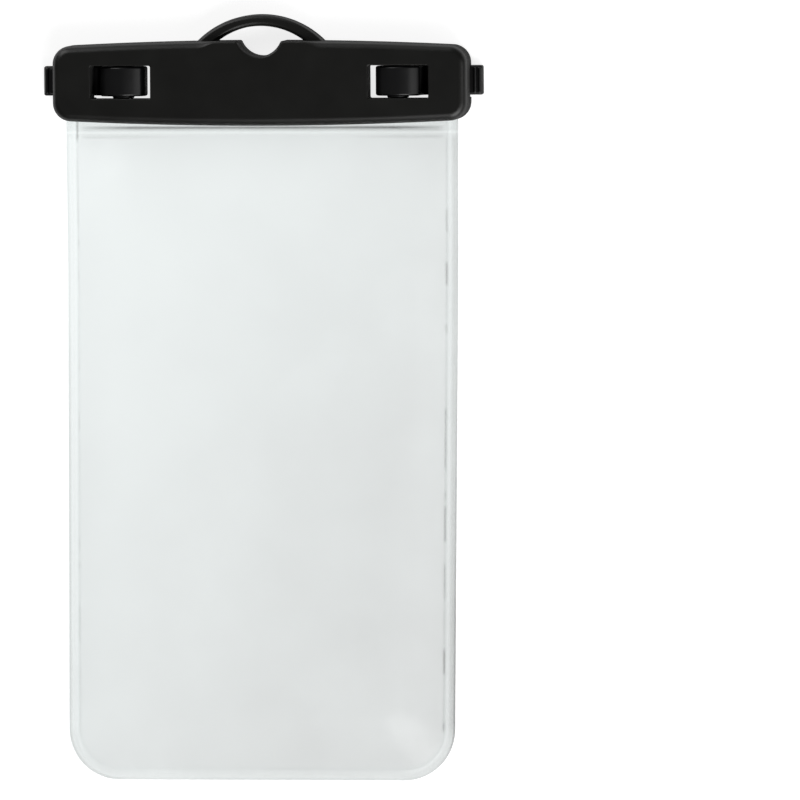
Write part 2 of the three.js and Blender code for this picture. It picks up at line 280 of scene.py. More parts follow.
@dataclass(frozen=True)
class ClearFilm:
    """Clear soft film. The mesh carries how hazy it is at each point, painted shadows, shade and highlights
    included, and how dark that haze is.
    """

    name: str = "clear_film"
    clear: tuple[float, float, float] = (0.988, 0.999, 0.998)
    haze: tuple[float, float, float] = (0.27, 0.225, 0.225)
    dark: tuple[float, float, float] = (0.015, 0.03, 0.024)
    mirror: float = 0.006
    mirror_most: float = 0.85
    roughness: float = 0.20
    ripple_mm: float = 11.0
    ripple_depth_mm: float = 0.06
    cloud_mm: float = 26.0
    cloud_low: float = 0.85
    cloud_span: float = 0.3
    body_roughness: float = 0.35
    ior: float = 1.5

    def material(self) -> bpy.types.Material:
        """Builds the material."""
        recipe = Recipe(self.name)
        # the haze attribute also carries painted shadows, crease shade and highlights
        haze = recipe.term(recipe.node("ShaderNodeAttribute", {"attribute_name": "haze"}), "Fac")
        depth = recipe.term(recipe.node("ShaderNodeAttribute", {"attribute_name": "depth"}), "Fac")
        facing = recipe.term(recipe.node("ShaderNodeLayerWeight", None, {"Blend": 0.5}), "Facing")
        ripple = recipe.bump(recipe.noise(self.ripple_mm), self.ripple_depth_mm)
        gloss = recipe.node("ShaderNodeBsdfGlossy", None, {
            "Color": (1, 1, 1, 1), "Roughness": self.roughness, "Normal": ripple})
        clear = recipe.node("ShaderNodeBsdfTransparent", None, {"Color": (*self.clear, 1)})
        mirrored = self.mirror + (1 - self.mirror) * facing ** 5
        bare = recipe.node("ShaderNodeMixShader", None, {
            0: mirrored.within(0, self.mirror_most), 1: clear.outputs[0], 2: gloss.outputs[0]})
        cloud = recipe.noise(self.cloud_mm)
        body = recipe.node("ShaderNodeBsdfPrincipled", None, {
            "Base Color": recipe.blend(depth, self.haze, self.dark), "Roughness": self.body_roughness,
            "IOR": self.ior, "Normal": ripple})
        share = (haze * (self.cloud_low + self.cloud_span * cloud)).within(0, 1)
        surface = recipe.node("ShaderNodeMixShader", None, {0: share, 1: bare.outputs[0], 2: body.outputs[0]})
        return recipe.finish(surface)


@dataclass(frozen=True)
class StudioFloor:
    """Pale back-lit table top."""

    name: str = "studio_floor"
    shade: tuple[float, float, float] = (0.50, 0.50, 0.50)
    paler: float = 1.01
    cloud_mm: float = 400.0
    glow: float = 0.80

    def material(self) -> bpy.types.Material:
        """Builds the material."""
        recipe = Recipe(self.name)
        cloud = recipe.noise(self.cloud_mm, detail=1.0)
        shader = recipe.node("ShaderNodeBsdfPrincipled", None, {
            "Base Color": recipe.blend(cloud, self.shade, tuple(self.paler * c for c in self.shade)),
            "Roughness": 0.9, "Specular IOR Level": 0.1,
            "Emission Color": (1, 1, 1, 1), "Emission Strength": self.glow})
        return recipe.finish(shader)


@dataclass
class Outline:
    """A closed outline, counter-clockwise, with the outward normal of each point."""

    points: np.ndarray
    normals: np.ndarray

    def ring(self, grow: float | np.ndarray, height: float | np.ndarray) -> np.ndarray:
        """The outline in space.

        Args:
            grow: how far each point is moved outwards.
            height: the third coordinate.

        Returns:
            An array of points, one row each.
        """
        count = len(self.points)
        grown = self.points + self.normals * np.broadcast_to(grow, count)[:, None]
        return np.column_stack([grown, np.broadcast_to(height, count)])


class Pen:
    """Draws an outline counter-clockwise from arcs and curves; straight runs join them."""

    def __init__(self) -> None:
        """Starts an empty outline."""
        self.points: list[Pair] = []
        self.normals: list[Pair] = []

    def dot(self, x: float, y: float, nx: float, ny: float) -> None:
        """Adds a point with its outward normal, unless it repeats the last one."""
        if self.points and math.dist(self.points[-1], (x, y)) < SAME:
            return
        self.points.append((x, y))
        self.normals.append((nx, ny))

    def arc(self, centre: Pair, radius: float, start: float, end: float, steps: int) -> None:
        """Adds an arc between two angles in degrees; a clockwise one is hollow."""
        sign = 1 if end > start else -1
        for angle in np.radians(np.linspace(start, end, steps + 1)):
            c, s = math.cos(angle), math.sin(angle)
            self.dot(centre[0] + radius * c, centre[1] + radius * s, sign * c, sign * s)

    def curve(self, *controls: Pair, steps: int) -> None:
        """Adds a Bezier curve of any degree."""
        degree = len(controls) - 1
        p = np.array(controls, float)
        for t in np.linspace(0, 1, steps + 1):
            weights = [math.comb(degree, i) * t**i * (1 - t) ** (degree - i) for i in range(degree + 1)]
            x, y = np.array(weights) @ p
            lesser = degree - 1
            slopes = [math.comb(lesser, i) * t**i * (1 - t) ** (lesser - i) for i in range(degree)]
            tx, ty = np.array(slopes) @ (p[1:] - p[:-1])
            length = math.hypot(tx, ty)
            self.dot(x, y, ty / length, -tx / length)

    def outline(self) -> Outline:
        """The closed outline."""
        if math.dist(self.points[0], self.points[-1]) < SAME:
            self.points.pop()
            self.normals.pop()
        return Outline(np.array(self.points), np.array(self.normals))


def filleted(corners: Sequence[Pair], radius: float, steps: int = 5) -> Outline:
    """A polygon with rounded corners.

    Args:
        corners: its corners, counter-clockwise.
        radius: radius of each corner, whether it points out or in.
        steps: facets of each corner.

    Returns:
        The outline.
    """
    pen = Pen()
    count = len(corners)
    for i, corner in enumerate(corners):
        p = np.array(corner, float)
        u = p - np.array(corners[i - 1], float)
        v = np.array(corners[(i + 1) % count], float) - p
        u /= np.linalg.norm(u)
        v /= np.linalg.norm(v)
        turn = math.atan2(u[0] * v[1] - u[1] * v[0], u @ v)
        sign = 1 if turn > 0 else -1
        inward = np.array([-u[1], u[0]]) * sign
        centre = p - u * radius * math.tan(abs(turn) / 2) + inward * radius
        start = math.degrees(math.atan2(-inward[1], -inward[0]))
        pen.arc(tuple(centre), radius, start, start + math.degrees(turn), steps)
    return pen.outline()


def upright(rows: Sequence[np.ndarray], axis: str) -> list[np.ndarray]:
    """Turns rings drawn in XY so that their height lies along another axis.

    Args:
        rows: rings whose third coordinate is the height.
        axis: "X" where the outline is drawn in YZ, "Y" where it is drawn in XZ.

    Returns:
        The turned rings.
    """
    order = {"X": [2, 0, 1], "Y": [0, 2, 1]}[axis]
    return [ring[:, order] for ring in rows]


def rim_steps(edge: float, start_deg: float, end_deg: float, steps: int) -> list[Pair]:
    """Steps round a rounded rim.

    Args:
        edge: the rim's radius.
        start_deg: where the steps start: 0 at the rim's side, 90 at its face.
        end_deg: where they end.
        steps: number of facets.

    Returns:
        How far each step lies inside the outline, and how far short of the face.
    """
    return [(edge * (1 - math.cos(a)), edge * (1 - math.sin(a)))
            for a in np.radians(np.linspace(start_deg, end_deg, steps + 1))]


def rounded_prism(shape: Outline, half: float, edge: float, steps: int) -> list[np.ndarray]:
    """Rings of a prism from -half to half with rounded rims.

    Args:
        shape: its outline.
        half: half its length.
        edge: radius of the rims.
        steps: facets of each rim.

    Returns:
        The rings.
    """
    start = [shape.ring(-inside, short - half) for inside, short in rim_steps(edge, 90, 0, steps)]
    end = [shape.ring(-inside, half - short) for inside, short in rim_steps(edge, 0, 90, steps)]
    return start + end


def closed_mesh(name: str, points: np.ndarray, faces: Sequence[Sequence[int]]) -> bpy.types.Object:
    """A mesh object from points in mm and faces, with all normals outwards."""
    mesh = bpy.data.meshes.new(name)
    mesh.from_pydata((points * MM).tolist(), [], faces)
    shape = bmesh.new()
    shape.from_mesh(mesh)
    bmesh.ops.recalc_face_normals(shape, faces=shape.faces)
    shape.to_mesh(mesh)
    shape.free()
    piece = bpy.data.objects.new(name, mesh)
    bpy.context.scene.collection.objects.link(piece)
    return piece


def solid(name: str, rings: Sequence[np.ndarray]) -> bpy.types.Object:
    """A closed mesh through rings with the same number of points, in mm, capped at both ends."""
    count = len(rings[0])
    faces = [list(range(count)), list(range((len(rings) - 1) * count, len(rings) * count))]
    for level in range(len(rings) - 1):
        low, high = level * count, (level + 1) * count
        for i in range(count):
            j = (i + 1) % count
            faces.append([low + i, low + j, high + j, high + i])
    return closed_mesh(name, np.concatenate(rings), faces)


def block(name: str, low: Sequence[float], high: Sequence[float]) -> bpy.types.Object:
    """A plain block between two corners, in mm, used as a cutter."""
    corners = [(low[0], low[1]), (high[0], low[1]), (high[0], high[1]), (low[0], high[1])]
    rings = [np.array([(x, y, z) for x, y in corners]) for z in (low[2], high[2])]
    return solid(name, rings)


def combine(piece: bpy.types.Object, tool: bpy.types.Object, how: Join) -> None:
    """Adds a solid to a piece or cuts it out of it, and removes the tool.

    Args:
        piece: the piece that is kept.
        tool: the solid that acts on it.
        how: whether it is added or cut out.
    """
    modifier = piece.modifiers.new("join", "BOOLEAN")
    modifier.operation = how.value
    modifier.solver = "EXACT"
    modifier.object = tool
    bpy.context.view_layer.update()
    graph = bpy.context.evaluated_depsgraph_get()
    made = bpy.data.meshes.new_from_object(piece.evaluated_get(graph))
    piece.modifiers.clear()
    before = piece.data
    piece.data = made
    bpy.data.meshes.remove(before)
    spare = tool.data
    bpy.data.objects.remove(tool)
    bpy.data.meshes.remove(spare)


def dress(piece: bpy.types.Object, node: str, body: str, finish: bpy.types.Material,
          sharp_deg: float = 34) -> None:
    """Smooths a piece, gives it its finish and puts it in its CAD node's place.

    Args:
        piece: the finished mesh object.
        node: the CAD node that it replaces.
        body: the CAD body that it moves with.
        finish: its material.
        sharp_deg: edges sharper than this stay sharp.
    """
    mesh = piece.data
    mesh.materials.clear()
    mesh.materials.append(finish)
    mesh.shade_smooth()
    mesh.set_sharp_from_angle(angle=math.radians(sharp_deg))
    weighted = piece.modifiers.new("normals", "WEIGHTED_NORMAL")
    weighted.keep_sharp = True
    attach(piece, body)
    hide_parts(node)
    log.info("%s: %d faces on body %s", piece.name, len(mesh.polygons), body)


@dataclass
class ClampBar:
    """The two jaws of the clamp bar, with the lanyard loop, the notch and the levers' windows."""

    centre_y: float = 89.4
    length: float = 118.8
    end_height: float = 20.9
    mid_height: float = 23.6
    lower_edge_drop: float = 0.55
    corner_radius: float = 5.2
    depth: float = 12.4
    front_edge: float = 2.3
    rear_edge: float = 1.3
    parting_z: float = 6.0
    gap: float = 0.3
    parting_chamfer: float = 0.22
    loop_outer_radius: float = 25.65
    loop_inner_radius: float = 20.6
    loop_top_y: float = 108.6
    loop_band: float = 3.3
    loop_half_depth: float = 3.1
    loop_edge: float = 1.3
    loop_foot_sink: float = 1.4
    notch_radius: float = 6.73
    notch_depth: float = 4.4
    notch_edge: float = 0.7
    notch_edge_reach: float = 5.5
    notch_edge_blend: float = 4.0
    lip_radius: float = 0.7
    window_x: float = 39.8
    window_width: float = 17.2
    window_height: float = 9.35
    window_rise: float = 0.12
    window_corner: float = 0.45
    window_edge: float = 0.3
    rear_window_inner_x: float = 28.8
    rear_window_height: float = 10.8
    rear_window_corner: float = 0.6
    channel_overlap: float = 0.6
    channel_depth: float = 4.1
    channel_height: float = 9.1
    pivot_x: float = 39.35
    pivot_z: float = 8.4
    boss_radius: float = 3.1
    boss_length: float = 9.15
    pin_radius: float = 1.9
    pin_length: float = 11.2
    slot_mouth: float = 3.5
    neck_half_width: float = 56.2
    film: float = 0.4
    mouth_y: float = 83.2
    ridge_low_y: float = 80.3
    ridge_high_y: float = 82.5
    ridge_slope: float = 0.4
    ridge_drop: float = 0.7
    seal_length: float = 112.0
    seal_width: float = 1.8
    seal_thickness: float = 1.4
    mouth_ease: tuple[Pair, ...] = ((0.9, 0.0), (0.3, 0.25), (-2.0, 0.9))
    clear_of_bar: float = 1.0
    edge_steps: int = 10
    corner_steps: int = 14
    top_points: int = 30
    loop_sections: int = 65

    def top_edge(self, x: float) -> float:
        """Height of the bowed top edge over the bar's middle line at a place along the bar."""
        end_x = self.length / 2 - self.corner_radius
        bow = (self.mid_height - self.end_height) / 2
        return self.end_height / 2 + bow * (1 - (x / end_x) ** 2)

    def top_run(self, pen: Pen, start: float, end: float) -> None:
        """Draws the bowed top edge between two places along the bar, without its ends."""
        end_x = self.length / 2 - self.corner_radius
        for x in np.linspace(start, end, self.top_points)[1:-1]:
            slope = -2 * (self.mid_height - self.end_height) / 2 * x / end_x**2
            pen.dot(x, self.top_edge(x), -slope / math.hypot(slope, 1), 1 / math.hypot(slope, 1))

    def notch_centre(self) -> float:
        """Height of the notch's centre over the bar's middle line."""
        return self.mid_height / 2 - self.notch_depth + self.notch_radius

    def outer(self, face: Face) -> float:
        """Height of the bar's outer surface on a face."""
        return self.depth if face is Face.FRONT else 0.0

    def parting(self, face: Face) -> float:
        """Height of one jaw's parting face."""
        return self.parting_z + face.value * self.gap / 2

    def outline(self) -> Outline:
        """The bar's outline about its middle, with the notch in its top edge."""
        end_x = self.length / 2 - self.corner_radius
        end_y = self.end_height / 2
        low_y = end_y + self.lower_edge_drop
        bow = self.mid_height - end_y + self.lower_edge_drop
        r, steps = self.corner_radius, self.corner_steps
        notch_y = self.notch_centre()
        lip_y = self.top_edge(self.notch_radius) - self.lip_radius
        reach = self.notch_radius + self.lip_radius
        lip_x = math.sqrt(reach**2 - (notch_y - lip_y) ** 2)
        lip_angle = math.degrees(math.atan2(notch_y - lip_y, -lip_x))
        pen = Pen()
        pen.curve((-end_x, -low_y), (0, -bow), (end_x, -low_y), steps=60)
        pen.arc((end_x, -low_y + r), r, -90, 0, steps)
        pen.arc((end_x, end_y - r), r, 0, 90, steps)
        self.top_run(pen, end_x, lip_x)
        pen.arc((lip_x, lip_y), self.lip_radius, 90, lip_angle, steps=8)
        pen.arc((0, notch_y), self.notch_radius, lip_angle - 180, -lip_angle, steps=40)
        pen.arc((-lip_x, lip_y), self.lip_radius, 180 - lip_angle, 90, steps=8)
        self.top_run(pen, -lip_x, -end_x)
        pen.arc((-end_x, end_y - r), r, 90, 180, steps)
        pen.arc((-end_x, -low_y + r), r, 180, 270, steps)
        shape = pen.outline()
        shape.points[:, 1] += self.centre_y
        return shape

    def blank(self, name: str, face: Face) -> bpy.types.Object:
        """One jaw without its openings: rounded at its outer face, chamfered at the parting plane.

        Args:
            name: name of the new object.
            face: which jaw.

        Returns:
            The solid, with its half of the lanyard loop.
        """
        sign, outer, parting = face.value, self.outer(face), self.parting(face)
        edge = self.front_edge if face is Face.FRONT else self.rear_edge
        shape = self.outline()
        from_notch = np.abs(shape.points[:, 0]) - self.notch_radius - self.lip_radius
        on_top = shape.points[:, 1] > self.centre_y
        share = np.clip((from_notch - self.notch_edge_reach) / self.notch_edge_blend, 0, 1)
        share = np.where(on_top, share**2 * (3 - 2 * share), 1)
        radius = self.notch_edge + (edge - self.notch_edge) * share
        rings = [
            shape.ring(-self.parting_chamfer, parting),
            shape.ring(0, parting + sign * self.parting_chamfer),
        ]
        for inside, short in rim_steps(1.0, 0, 90, self.edge_steps):
            rings.append(shape.ring(-radius * inside, outer - sign * radius * short))
        jaw = solid(name, rings)
        combine(jaw, self.loop(name + "_loop", face), Join.ADD)
        return jaw

    def loop(self, name: str, face: Face) -> bpy.types.Object:
        """One half of the lanyard loop, an arch with rounded outer edges.

        Args:
            name: name of the new object.
            face: which half.

        Returns:
            The solid, its feet sunk into the bar.
        """
        sign, parting = face.value, self.parting(face)
        crest = self.parting_z + sign * self.loop_half_depth
        foot_y = self.centre_y + self.mid_height / 2 - self.loop_foot_sink
        outer_y = self.loop_top_y - self.loop_outer_radius
        inner_y = self.loop_top_y - self.loop_band - self.loop_inner_radius
        outer_angle = math.asin((foot_y - outer_y) / self.loop_outer_radius)
        inner_angle = math.asin((foot_y - inner_y) / self.loop_inner_radius)
        rings = []
        for t in np.linspace(0, 1, self.loop_sections):
            a = outer_angle + (math.pi - 2 * outer_angle) * t
            b = inner_angle + (math.pi - 2 * inner_angle) * t
            far = np.array([math.cos(a), math.sin(a)]) * self.loop_outer_radius + [0, outer_y]
            near = np.array([math.cos(b), math.sin(b)]) * self.loop_inner_radius + [0, inner_y]
            across = far - near
            width = np.linalg.norm(across)
            across /= width
            c = self.parting_chamfer
            rim = rim_steps(self.loop_edge, 0, 90, steps=6)
            section = [(c, parting), (0, parting + sign * c)]
            section += [(inside, crest - sign * short) for inside, short in rim]
            section += [(width - inside, crest - sign * short) for inside, short in rim[::-1]]
            section += [(width, parting + sign * c), (width - c, parting)]
            rings.append(np.array([(*(near + across * s), z) for s, z in section]))
        return solid(name, rings)

    def opening(self, name: str, x: Sequence[float], half: float, corner: float, low: float,
                face: Face) -> bpy.types.Object:
        """Cutter of a rectangular opening with a rounded rim at one face of the bar.

        Args:
            name: name of the new object.
            x: its two ends along the bar.
            half: half its height.
            corner: radius of its corners.
            low: height of its end inside the bar.
            face: the face that it opens to.

        Returns:
            The solid.
        """
        sign, outer = face.value, self.outer(face)
        middle = self.centre_y + self.window_rise
        low_y, high_y = middle - half, middle + half
        shape = filleted([(min(x), low_y), (max(x), low_y), (max(x), high_y), (min(x), high_y)], corner)
        rings = [shape.ring(0, low)]
        for inside, short in rim_steps(self.window_edge, 0, 90, steps=5):
            rings.append(shape.ring(inside, outer - sign * short))
        rings.append(shape.ring(self.window_edge, outer + sign))
        return solid(name, rings)

    def window(self, side: Side) -> bpy.types.Object:
        """Cutter of one window of the front jaw."""
        x = side.value * self.window_x
        ends = (x - self.window_width / 2, x + self.window_width / 2)
        return self.opening("window_cutter", ends, self.window_height / 2, self.window_corner,
                            self.parting_z - 1, Face.FRONT)

    def pin_slot(self, side: Side) -> bpy.types.Object:
        """Cutter of the snap-in slot for one lever's pins."""
        radius = self.pin_radius + self.gap
        mouth = self.slot_mouth / 2
        lip = self.pivot_z - math.sqrt(radius**2 - mouth**2)
        lip_angle = math.degrees(math.atan2(lip - self.pivot_z, mouth))
        x = side.value * self.pivot_x
        pen = Pen()
        pen.dot(x - mouth, self.parting_z - self.gap, 0, -1)
        pen.dot(x + mouth, self.parting_z - self.gap, 0, -1)
        pen.arc((x, self.pivot_z), radius, lip_angle, 180 - lip_angle, steps=30)
        shape = pen.outline()
        half = self.pin_length / 2 + self.gap
        rings = [shape.ring(0, self.centre_y - half), shape.ring(0, self.centre_y + half)]
        return solid("pin_slot_cutter", upright(rings, "Y"))

    def ridge_dip(self, y: float) -> float:
        """How far the pinched film dips at a height along Y."""
        below = min(max((self.ridge_low_y - y) / self.ridge_slope, 0), 1)
        above = min(max((y - self.ridge_high_y) / self.ridge_slope, 0), 1)
        return -self.ridge_drop * (1 - max(below, above))

    def neck(self, face: Face) -> bpy.types.Object:
        """Cutter of the space for the pinched films in one jaw, with an eased mouth."""
        sign = face.value
        plane = self.parting_z + sign * (self.gap / 2 + self.film + self.gap)
        far = -self.clear_of_bar if face is Face.FRONT else self.depth + self.clear_of_bar
        lip_y = self.centre_y - self.mid_height / 2 - self.lower_edge_drop
        low_y = lip_y + self.mouth_ease[-1][0]
        high_y = self.mouth_y + self.gap
        profile = [(low_y, far), (high_y, far), (high_y, plane)]
        for y in (self.ridge_high_y + self.ridge_slope, self.ridge_high_y, self.ridge_low_y,
                  self.ridge_low_y - self.ridge_slope):
            profile.append((y, plane + self.ridge_dip(y)))
        profile += [(lip_y + rise, plane + sign * ease) for rise, ease in self.mouth_ease]
        half = self.neck_half_width + self.gap
        rings = [np.array([(y, z, x) for y, z in profile]) for x in (-half, half)]
        return solid("neck_cutter", upright(rings, "X"))

    def rear_window(self, side: Side) -> bpy.types.Object:
        """Cutter of one window of the rear jaw."""
        outer = self.window_x + self.window_width / 2
        ends = (side.value * self.rear_window_inner_x, side.value * outer)
        return self.opening("rear_window_cutter", ends, self.rear_window_height / 2,
                            self.rear_window_corner, self.parting_z + 1, Face.REAR)

    def channel(self, side: Side) -> bpy.types.Object:
        """Cutter of the channel in which one lever's arm lies."""
        inner = self.window_x + self.window_width / 2 - self.channel_overlap
        x = sorted((side.value * inner, side.value * self.length))
        half = self.channel_height / 2
        return block("channel_cutter", (x[0], self.centre_y - half, -self.channel_depth),
                     (x[1], self.centre_y + half, self.channel_depth))

    def groove(self) -> bpy.types.Object:
        """Cutter of the seal strip's groove."""
        plane = self.parting_z - self.gap / 2 - self.film - self.gap
        low_z = plane - self.ridge_drop - self.seal_thickness - self.gap
        mid_y = (self.ridge_low_y + self.ridge_high_y) / 2
        half_x = self.seal_length / 2 + self.gap
        half_y = self.seal_width / 2 + self.gap
        return block("groove_cutter", (-half_x, mid_y - half_y, low_z),
                     (half_x, mid_y + half_y, plane + FINE))

    def build(self, finish: bpy.types.Material) -> None:
        """Builds and dresses both jaws."""
        front = self.blank("clamp_front_jaw", Face.FRONT)
        rear = self.blank("clamp_rear_jaw", Face.REAR)
        for side in Side:
            combine(front, self.window(side), Join.CUT)
            combine(front, self.pin_slot(side), Join.CUT)
            combine(rear, self.rear_window(side), Join.CUT)
            combine(rear, self.channel(side), Join.CUT)
        combine(front, self.neck(Face.FRONT), Join.CUT)
        combine(rear, self.neck(Face.REAR), Join.CUT)
        combine(rear, self.groove(), Join.CUT)
        dress(front, "front_jaw", "root", finish)
        dress(rear, "rear_jaw", "root", finish)


@dataclass
class CamLever:
    """One cam lever: a barrel in the window, an arm behind it and a ribbed finger tab at the bar's end."""

    side: Side
    bar: ClampBar
    height: float = 8.4
    edge: float = 0.6
    tip_x: float = 63.0
    offset_y: float = 0.3
    barrel_corner: float = 0.5
    arm_back_z: float = 0.6
    arm_thickness: float = 3.2
    tip_round: float = 0.9
    rib_count: int = 2
    rib_radius: float = 0.6
    rib_pitch: float = 1.35
    rib_inset: float = 0.35
    rib_sink: float = 0.18
    rib_end_gap: float = 0.6
    rod_edge: float = 0.3
    edge_steps: int = 5
    # Places about the pivot, x outwards along the bar and z to the front; pairs are (x, z) but in hollow_x
    toe_x: float = 2.5
    hollow_x: Pair = (8.4, 6.6)
    hollow_end: Pair = (6.5, -1.6)
    nose: Pair = (6.45, 1.5)
    brow_z: float = 1.8
    crown: tuple[Pair, ...] = ((3.2, 3.7), (0.4, 3.7))
    inner_crown: tuple[Pair, ...] = ((0.4, 3.7), (-1.9, 3.7), (-4.7, 2.2))
    heel: tuple[Pair, ...] = ((-4.7, 2.2), (-6.1, 1.5), (-6.55, 0.2), (-6.55, -2.2))
    sole: tuple[Pair, ...] = ((-6.55, -2.2), (-6.6, -5.6))
    sole_x: float = -3.0

    def profile(self) -> Outline:
        """The lever's side profile about its pivot: X outwards, height to the front."""
        back = self.arm_back_z - self.bar.pivot_z
        top = back + self.arm_thickness
        tip = self.tip_x - self.bar.pivot_x
        r, c = self.tip_round, self.barrel_corner
        nose_x, nose_z = self.nose
        brow = (nose_x - c, self.brow_z)
        pen = Pen()
        pen.curve((self.toe_x, back), (tip - r, back), steps=1)
        pen.curve((tip - r, back), (tip, back), (tip, back + r), steps=6)
        pen.curve((tip, top - r), (tip, top), (tip - r, top), steps=6)
        pen.curve((self.hollow_x[0], top), (self.hollow_x[1], top), self.hollow_end, steps=12)
        pen.curve((nose_x, nose_z - c), self.nose, brow, steps=6)
        pen.curve(brow, *self.crown, steps=16)
        pen.curve(*self.inner_crown, steps=16)
        pen.curve(*self.heel, steps=12)
        pen.curve(*self.sole, (self.sole_x, back), (self.toe_x, back), steps=16)
        return pen.outline()

    def placed(self, rings: Sequence[np.ndarray], offset_y: float = 0.0) -> list[np.ndarray]:
        """Rings about the pivot, with Y as their third coordinate, moved to the lever's place."""
        out = []
        for ring in rings:
            x, z, y = ring.T
            out.append(np.column_stack([
                self.side.value * (self.bar.pivot_x + x), self.bar.centre_y + offset_y + y,
                self.bar.pivot_z + z]))
        return out

    def rod(self, radius: float, length: float, x: float, z: float,
            offset_y: float = 0.0) -> bpy.types.Object:
        """A rod along Y with rounded ends, its place counted from the pivot."""
        pen = Pen()
        pen.arc((x, z), radius, 0, 360, steps=36)
        rings = rounded_prism(pen.outline(), length / 2, self.rod_edge, steps=3)
        return solid("lever_rod", self.placed(rings, offset_y))

    def build(self, finish: bpy.types.Material) -> None:
        """Builds and dresses the lever."""
        name = f"{self.side.name.lower()}_cam_lever"
        rings = rounded_prism(self.profile(), self.height / 2, self.edge, self.edge_steps)
        lever = solid(name, self.placed(rings, self.offset_y))
        bar = self.bar
        combine(lever, self.rod(bar.boss_radius, bar.boss_length, 0, 0, bar.window_rise), Join.ADD)
        combine(lever, self.rod(bar.pin_radius, bar.pin_length, 0, 0), Join.ADD)
        rib_z = self.arm_back_z + self.arm_thickness - self.rib_sink - bar.pivot_z
        rib_length = self.height - 2 * self.rib_end_gap
        for step in range(self.rib_count):
            rib_x = self.tip_x - self.rib_radius - self.rib_inset - step * self.rib_pitch - bar.pivot_x
            rib = self.rod(self.rib_radius, rib_length, rib_x, rib_z, self.offset_y)
            combine(lever, rib, Join.ADD)
        body = f"{self.side.name.lower()}_lever"
        dress(lever, body, body, finish)


def ramp(value: np.ndarray, start: float, end: float) -> np.ndarray:
    """Rises from 0 to 1 while a value goes from start to end; start may be the larger."""
    return np.clip((value - start) / (end - start), 0, 1)


@dataclass(frozen=True)
class Waves:
    """A sum of random waves: how many, their shortest and longest length in mm, and their size."""

    count: int
    shortest: float
    longest: float
    size: float


@dataclass(frozen=True)
class HazeLine:
    """A soft line: some are marks in the haze, some painted shadows, painted shade and painted highlights.
    Its place and half width in mm, how dark it is, and its shares.

    Each share is the light that the line holds back in one zone of the film; below 0 it clears the film,
    which makes the gleams painted highlights.
    """

    at: float
    width: float
    depth: float
    shares: tuple[float, ...]

    def mask(self, place: np.ndarray) -> np.ndarray:
        """The line's strength at each place, 0 to 1."""
        return np.exp(-(((place - self.at) / self.width) ** 2))


@dataclass(frozen=True)
class FilmHazeAndPaintedLight:
    """How much the bag's two films dim what lies behind them, darker towards the lower right, with painted
    shadows under the clamp bar, painted shade in the neck's crease and round the lower right rim, and painted
    highlights (the gleams). Zones are pairs of places in mm.
    """

    middle: float = 0.287
    per_mm_right: float = 0.00068
    per_mm_up: float = -0.00062
    low_right: float = 0.040
    high_left: float = -0.030
    clouds: Waves = Waves(6, 60, 160, 0.010)
    limits: Pair = (0.004, 0.9)
    dash: float = 6.0
    dash_gap: float = 9.0
    least_dash: float = 1.2
    least_gap: float = 1.0
    dash_end: float = 0.8
    dash_strength: Pair = (0.4, 1.0)
    side_blend: float = 6.0
    sideways: Pair = (-52, 52)
    upwards: Pair = (-90, 60)
    left_upwards: Pair = (-90, 10)
    downwards: Pair = (20, -90)
    towards_side: Pair = (38, 44)
    under_neck: Pair = (74.5, 73.0)
    left_rim_zone: Pair = (30, 10)
    shadow_zone: Pair = (56.333, 38)
    # where the painted crease shade below the neck grows stronger
    crease_shade_zone: Pair = (25, 40)
    between_welds: Pair = (52.5, 50.5)
    end_mark_zone: Pair = (72.4, 73.9)
    turn_over_bottom: Pair = (12, 16)
    rim_over_bottom: Pair = (3, 15)
    right_seam: HazeLine = HazeLine(3.3, 0.32, 0.6, (0.01, 0.05, 0.26))
    left_seam: HazeLine = HazeLine(2.95, 0.32, 0.6, (0.04, 0.08))
    # painted highlight: a bright line beside the weld seam, stronger round the corners
    weld_gleam: HazeLine = HazeLine(2.3, 0.60, 0.0, (-0.01, -0.06))
    # the film's cut edge: a faint dark line all round, made darker round the lower right corner by painted
    # shade
    rim: HazeLine = HazeLine(0.0, 0.55, 0.6, (0.03, 0.09, 0.26))
    left_rim: HazeLine = HazeLine(0.3, 0.30, 0.6, (0.07,))
    flange: HazeLine = HazeLine(1.1, 0.7, 0.3, (0.09, -0.05, -0.02))
    neck_shadow: HazeLine = HazeLine(76.4, 0.40, 0.8, (0.55,))
    under_shadow: HazeLine = HazeLine(75.7, 0.35, 0.5, (0.10, 0.05))
    # painted highlight: a bright line across the film just under the clamp bar
    neck_gleam: HazeLine = HazeLine(75.1, 0.45, 0.0, (-0.08,))
    # painted shade: a dark line where the film creases below the neck
    neck_crease_shade: HazeLine = HazeLine(74.0, 0.35, 0.5, (0.02, 0.10))
    end_mark: HazeLine = HazeLine(-53.1, 0.30, 0.9, (0.36,))


